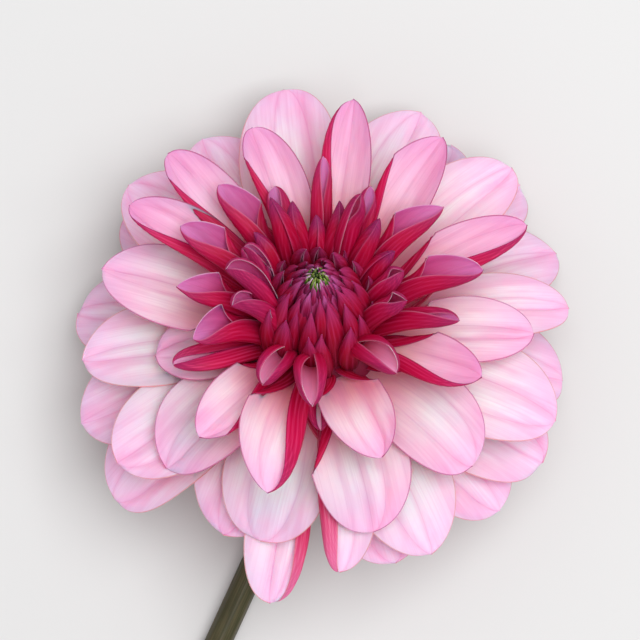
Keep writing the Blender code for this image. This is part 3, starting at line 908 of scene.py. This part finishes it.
def turned(name, outline, skin):
    """A solid turned about the head's axis from pairs of radius and height, listed from the bottom up."""
    work = bmesh.new()
    verts = [work.verts.new((radius * MM, 0, height * MM)) for radius, height in reversed(outline)]
    for upper, lower in zip(verts, verts[1:]):
        work.edges.new((upper, lower))
    mesh = bpy.data.meshes.new(name)
    work.to_mesh(mesh)
    work.free()
    made = bpy.data.objects.new(name, mesh)
    bpy.context.scene.collection.objects.link(made)
    screw = made.modifiers.new("turn", "SCREW")
    screw.steps = screw.render_steps = TURNED_STEPS
    screw.use_merge_vertices = True
    screw.merge_threshold = WELD * MM
    smooth = made.modifiers.new("round", "SUBSURF")
    smooth.levels = smooth.render_levels = ROUNDING
    depsgraph = bpy.context.evaluated_depsgraph_get()
    made.data = bpy.data.meshes.new_from_object(made.evaluated_get(depsgraph))
    made.modifiers.clear()
    made.data.transform(Matrix.Scale(MM, 4) @ HEAD @ Matrix.Scale(1 / MM, 4))
    made.data.shade_smooth()
    made.data.materials.append(skin)
    print(name, "has", len(made.data.polygons), "faces")
    return made


# %% [markdown]
# ## Juicy flesh
#
# The cone, the cup and the cut end of the stem are juicy tissue with a waxy skin. It is never one flat
# colour: a mottle of small specks, a darker flush in larger patches and a faint grain of cells make it
# look alive. All three are noises on the object's own coordinates, and their scales are counted in specks
# of a real size.

# %% Flesh, and the two pieces under the florets
MOTTLE, PATCHES, GRAIN = 0.16, 0.03, 0.7        # noise waves in the length of one speck
GRAIN_BUMP_MM = 0.1                             # mm, higher than real cells, as above


def juicy_flesh(name, deep, light, flush, speck_mm):
    """Juicy tissue: soft mottling, a darker flush and a faint grain of cells."""
    material, tree, shader = new_material(name)
    where = add_node(tree, "TexCoord").outputs["Object"]
    mottle = add_node(tree, "TexNoise", {"Vector": where, "Scale": MOTTLE / (speck_mm * MM), "Detail": 4.0})
    amount = add_node(tree, "MapRange", {"Value": mottle.outputs["Fac"], "From Min": 0.35, "From Max": 0.7})
    colour = add_node(tree, "MixRGB", {"Fac": amount.outputs[0], "Color1": linear(deep),
                                       "Color2": linear(light)})
    patches = add_node(tree, "TexNoise", {"Vector": where, "Scale": PATCHES / (speck_mm * MM),
                                          "Detail": 2.0})
    amount = add_node(tree, "MapRange", {"Value": patches.outputs["Fac"], "From Min": 0.5, "From Max": 0.8,
                                         "To Max": 0.6})
    colour = add_node(tree, "MixRGB", {"Fac": amount.outputs[0], "Color1": colour.outputs[0],
                                       "Color2": linear(flush)})
    tree.links.new(colour.outputs[0], shader.inputs["Base Color"])
    living_skin(shader, roughness=0.45, glow=0.15)
    grain = add_node(tree, "TexNoise", {"Vector": where, "Scale": GRAIN / (speck_mm * MM), "Detail": 2.0})
    bump = add_node(tree, "Bump", {"Height": grain.outputs["Fac"], "Strength": 0.3,
                                   "Distance": GRAIN_BUMP_MM * MM})
    tree.links.new(bump.outputs[0], shader.inputs["Normal"])
    return material


# the cone's dark crimson is partly painted shade, for where it shows between the florets
cone_skin_and_shade = juicy_flesh("receptacle_flesh_and_shade", deep="#6a0c2c", light="#8a1c40", flush="#7a1830", speck_mm=1.2)
cup_skin = juicy_flesh("green_cup_flesh", deep="#3d5a22", light="#5f7f34", flush="#5a3a2c", speck_mm=0.9)
tie(turned("receptacle", RECEPTACLE, cone_skin_and_shade), "bloom")
tie(turned("calyx_cup", CUP, cup_skin), "calyx")

# %% [markdown]
# The bracts and scales are rows like the petals, only short, thick and green. Their margins stand up a
# little and never fold. The bracts are leaves, matt with paler veins, and the scales are papery and brown
# along the edge.

# %% Bracts and pressed scales
BRACTS = Row(
    root_radius=7.5, root_height=-47.2, rise=-4, bend=-34, claw=0.60, widest=0.50, taper=0.9, rolled=30,
    spread=30, crease=0.25, wave=0.3, ridge=0.04,
    florets=plain(1.0, (62, 17, 9), (134, 17, 9), (206, 16, 9), (278, 16, 9), (350, 17, 9)))
PRESSED = Row(
    root_radius=9.2, root_height=-45.6, rise=24, bend=-16, claw=0.80, widest=0.45, taper=0.8, rolled=30,
    spread=30, crease=0.1, wave=0.2, ridge=0.03,
    florets=plain(1.0, *[(20 + 45 * number, 17, 9) for number in range(8)]))
BRACT_THICK, PRESSED_THICK = 0.9, 0.35          # mm

bract_face = petal_face("bract_face", throat="#6f8f42", middle="#5d8234", tip="#587a30",
                        streak="#84a052", line="#8a5a50", line_strength=0.4)
bract_back = petal_back("bract_back", root="#4d6e2a", middle="#4a7028", tip="#5a7a34",
                        vein="#7f9c52", vein_strength=0.4, line="#8a5a50", line_strength=0.4)
scale_skin = petal_back("pressed_scale_back", root="#7d8a4a", middle="#9c8a58", tip="#a8705c",
                        vein="#6a5030", vein_strength=0.5, line="#7a4438", line_strength=0.6)
tie(grow("bracts", BRACTS, (bract_face, bract_back), (24, 14), 51, BRACT_THICK), "calyx")
tie(grow("calyx_scales", PRESSED, (scale_skin, scale_skin), (20, 12), 52, PRESSED_THICK), "calyx")

# %% [markdown]
# ## The stem
#
# The stem leaves the cup in line with the head's axis, bends over and lies along the table. It is a
# ribbed tube, and its cut end shows a pale ring of flesh round a hollow. A curve with a round bevel gives
# a plain tube. Here the same curve is walked point by point instead, with a ring of points at each step,
# so the ribs, the collar at the top and the hollow end can all be in one clean mesh.

# %% The line of the stem
STEM_RADIUS = 3.3               # mm
NECK_TOP = -49.8                # height of the stem's start against the eye
NECK_PULL = 9.0                 # length of the curve's first handle
STEM_BENDS = (                  # places against the eye, and the length of the handles there
    ((-3.0, -42.0, -54.0), 9.0),
    ((-15.5, -70.0, -54.7), 11.0),
    ((-44.0, -132.0, -54.7), 22.0))
STEM_STEPS = 40                 # points along each stretch between two bends


def stem_line():
    """Points along the middle of the stem, from the cup to the cut end."""
    spots = [HEAD @ Vector((0, 0, NECK_TOP))] + [Vector(place) + EYE for place, pull in STEM_BENDS]
    pulls = [NECK_PULL] + [pull for place, pull in STEM_BENDS]
    ways = [HEAD.to_3x3() @ Vector((0, 0, -1)), spots[2] - spots[0], spots[3] - spots[1],
            spots[3] - spots[2]]
    ways[1].z = ways[2].z = ways[3].z = 0
    points = []
    for at in range(len(spots) - 1):
        out = spots[at] + ways[at].normalized() * pulls[at]
        back = spots[at + 1] - ways[at + 1].normalized() * pulls[at + 1]
        points += interpolate_bezier(spots[at], out, back, spots[at + 1], STEM_STEPS + 1)[at > 0:]
    return points


line = stem_line()
lengths = np.concatenate([[0], np.cumsum([(b - a).length for a, b in zip(line, line[1:])])])
print("stem length:", round(lengths[-1], 1), "mm")

# %% Rings along the stem
SIDES = 48                      # points round the stem
STEM_RIBS = 8
RIB_HEIGHT = 0.07               # mm
COLLAR = 0.9                    # mm that the stem widens by where it meets the cup
COLLAR_FADES = 2.5              # mm along the stem
HOLLOW = 1.5                    # radius of the hollow in the cut end
HOLLOW_DEPTH = 7.0              # mm
CUT_END = (                     # radius, and how far inside the end: a rounded edge, the flesh, the hollow
    (3.1, -0.12), (2.6, 0.05), (1.9, 0.1), (HOLLOW + 0.1, 0.15), (HOLLOW, 0.6),
    (HOLLOW, HOLLOW_DEPTH), (HOLLOW / 2, HOLLOW_DEPTH + 0.6))


def stem_rings():
    """Middle, direction, radius and rib height of each ring of points, ending inside the hollow."""
    rings = []
    for at, point in enumerate(line):
        way = (line[min(at + 1, len(line) - 1)] - line[max(at - 1, 0)]).normalized()
        collar = COLLAR * math.exp(-lengths[at] / COLLAR_FADES)
        rings.append((point, way, STEM_RADIUS - RIB_HEIGHT + collar, RIB_HEIGHT))
    end, way = line[-1], (line[-1] - line[-2]).normalized()
    return rings + [(end - way * inside, way, radius, 0.0) for radius, inside in CUT_END]


print("rings along the stem:", len(stem_rings()))

# %% The stem's tube
RIM_SHARP_OVER = 50             # degrees between faces from which an edge is drawn sharp


def make_stem(skins):
    """The stem as one closed mesh, with the second skin on the cut end and in the hollow."""
    work = bmesh.new()
    stem_mm = work.verts.layers.float_vector.new("stem_mm")
    side = Vector((1, 0, 0))
    loops = []
    for number, (point, way, radius, rib) in enumerate(stem_rings()):
        side = (side - way * side.dot(way)).normalized()
        other = way.cross(side)
        along = lengths[min(number, len(lengths) - 1)]
        loop = []
        for corner in range(SIDES):
            angle = 2 * math.pi * corner / SIDES
            reach = radius + rib * math.cos(STEM_RIBS * angle)
            vert = work.verts.new((point + (side * math.cos(angle) + other * math.sin(angle)) * reach) * MM)
            vert[stem_mm] = (along, angle * STEM_RADIUS, radius)
            loop.append(vert)
        loops.append(loop)
    for number, (near, far) in enumerate(zip(loops, loops[1:])):
        for corner in range(SIDES):
            after = (corner + 1) % SIDES
            face = work.faces.new((near[corner], near[after], far[after], far[corner]))
            face.material_index = 1 if number >= len(line) - 1 else 0
    work.faces.new(loops[0])
    work.faces.new(loops[-1]).material_index = 1
    bmesh.ops.recalc_face_normals(work, faces=work.faces)
    mesh = bpy.data.meshes.new("stem_tube")
    work.to_mesh(mesh)
    work.free()
    mesh.shade_smooth()
    mesh.set_sharp_from_angle(angle=math.radians(RIM_SHARP_OVER))
    for skin in skins:
        mesh.materials.append(skin)
    made = bpy.data.objects.new("stem_tube", mesh)
    bpy.context.scene.collection.objects.link(made)
    print("stem_tube has", len(mesh.polygons), "faces")
    return made


# %% [markdown]
# ## The skin of the stem
#
# A dahlia's stem is green under a thin wax, with long files of cells that show as darker lines, and brown
# where the sun has touched it. The lines are noise stretched along the stem, and the brown is a slower
# noise on top. The wax makes it a little glossier than a petal, and hardly any light goes through.

# %% Stem skin
FILES_PER_MM = 2.2              # lines round the stem; real files of cells are finer, too fine to show
FILES_ALONG = 0.08              # the same along it, so a line fades after some 12 mm
PATCHES_PER_M = 45.0            # brown patches, some 22 mm long
FILE_BUMP_MM = 0.12             # mm


def stem_skin():
    """Green bark with dark files along it, flushed brown in patches, with a waxy gloss."""
    material, tree, shader = new_material("waxy_stem_skin")
    vector = add_node(tree, "Attribute", attribute_name="stem_mm").outputs["Vector"]
    along, across = add_node(tree, "SeparateXYZ", {0: vector}).outputs[:2]
    x = add_node(tree, "Math", {0: across, 1: FILES_PER_MM}, operation="MULTIPLY").outputs[0]
    y = add_node(tree, "Math", {0: along, 1: FILES_ALONG}, operation="MULTIPLY").outputs[0]
    where = add_node(tree, "CombineXYZ", {"X": x, "Y": y}).outputs[0]
    files = add_node(tree, "TexNoise", {"Vector": where, "Scale": 1.0, "Detail": 3.0}).outputs["Fac"]
    amount = add_node(tree, "MapRange", {"Value": files, "From Min": 0.38, "From Max": 0.66}).outputs[0]
    colour = add_node(tree, "MixRGB", {"Fac": amount, "Color1": linear("#393a24"),
                                       "Color2": linear("#524c34")}).outputs[0]
    object_place = add_node(tree, "TexCoord").outputs["Object"]
    patches = add_node(tree, "TexNoise", {"Vector": object_place, "Scale": PATCHES_PER_M,
                                          "Detail": 3.0}).outputs["Fac"]
    amount = add_node(tree, "MapRange", {"Value": patches, "From Min": 0.42, "From Max": 0.68,
                                         "To Max": 0.7}).outputs[0]
    flushed = add_node(tree, "MixRGB", {"Fac": amount, "Color1": colour, "Color2": linear("#46362a")})
    tree.links.new(flushed.outputs[0], shader.inputs["Base Color"])
    living_skin(shader, roughness=0.42, glow=0.08)
    bump = add_node(tree, "Bump", {"Height": files, "Strength": 0.4, "Distance": FILE_BUMP_MM * MM})
    tree.links.new(bump.outputs[0], shader.inputs["Normal"])
    return material


cut_flesh = juicy_flesh("pale_cut_flesh", deep="#c9cf9c", light="#e3e6c4", flush="#a8b070", speck_mm=0.5)
tie(make_stem((stem_skin(), cut_flesh)), "stem")

# %% [markdown]
# ## The floor, the light and the camera
#
# The flower lies on plain matt paper. The light is one big soft panel, nearly overhead and a little to
# the right, with an even glow from all around, so the folds are shaded and no shadow is hard. The camera
# looks straight down at the flower's face, and its long lens keeps the rim from looking bent. The
# standard view transform keeps the pinks as pure as the hex colours say.

# %% Floor
FLOOR_REACH = 2.0               # metres to each side

floor_mesh = bpy.data.meshes.new("floor")
work = bmesh.new()
bmesh.ops.create_grid(work, x_segments=1, y_segments=1, size=FLOOR_REACH)
work.to_mesh(floor_mesh)
work.free()
floor = bpy.data.objects.new("floor", floor_mesh)
bpy.context.scene.collection.objects.link(floor)
paper, tree, shader = new_material("matt_white_paper")
shader.inputs["Base Color"].default_value = linear("#d0d0d0")
shader.inputs["Roughness"].default_value = 0.9
floor.data.materials.append(paper)
print("the floor is", [round(side, 1) for side in floor.dimensions[:2]], "m")

# %% Light
PANEL_PLACE = (0.26, 0.10, 1.04)        # metres from the eye
PANEL_SIZE = 0.9                        # metres
PANEL_WATTS = 13.2
GLOW_STRENGTH = 0.57

world = bpy.data.worlds.new("studio")
bpy.context.scene.world = world
world.use_nodes = True
world.node_tree.nodes["Background"].inputs["Color"].default_value = linear("#f7f6f6")
world.node_tree.nodes["Background"].inputs["Strength"].default_value = GLOW_STRENGTH

middle = EYE * MM
panel = bpy.data.lights.new("window_panel", "AREA")
panel.size = PANEL_SIZE
panel.energy = PANEL_WATTS
lamp = bpy.data.objects.new("window_panel", panel)
bpy.context.scene.collection.objects.link(lamp)
place = middle + Vector(PANEL_PLACE)
lamp.location = place
lamp.rotation_euler = (middle - place).to_track_quat("-Z", "Y").to_euler()
print("the panel hangs", round((place - middle).length, 2), "m from the eye")

# %% Camera
CAMERA_PLACE = (0.67, -10.03, 520)      # mm from the eye, a little below it to have the stem in too
LENS_MM = 131.2                         # the frame shows some 14 cm at the height of the eye

lens = bpy.data.cameras.new("camera")
lens.lens = LENS_MM
lens.clip_start = 0.01
camera = bpy.data.objects.new("camera", lens)
bpy.context.scene.collection.objects.link(camera)
camera.location = middle + Vector(CAMERA_PLACE) * MM
bpy.context.scene.camera = camera
bpy.context.scene.view_settings.view_transform = "Standard"
print("the frame shows", round(CAMERA_PLACE[2] * lens.sensor_width / LENS_MM), "mm at the eye's height")
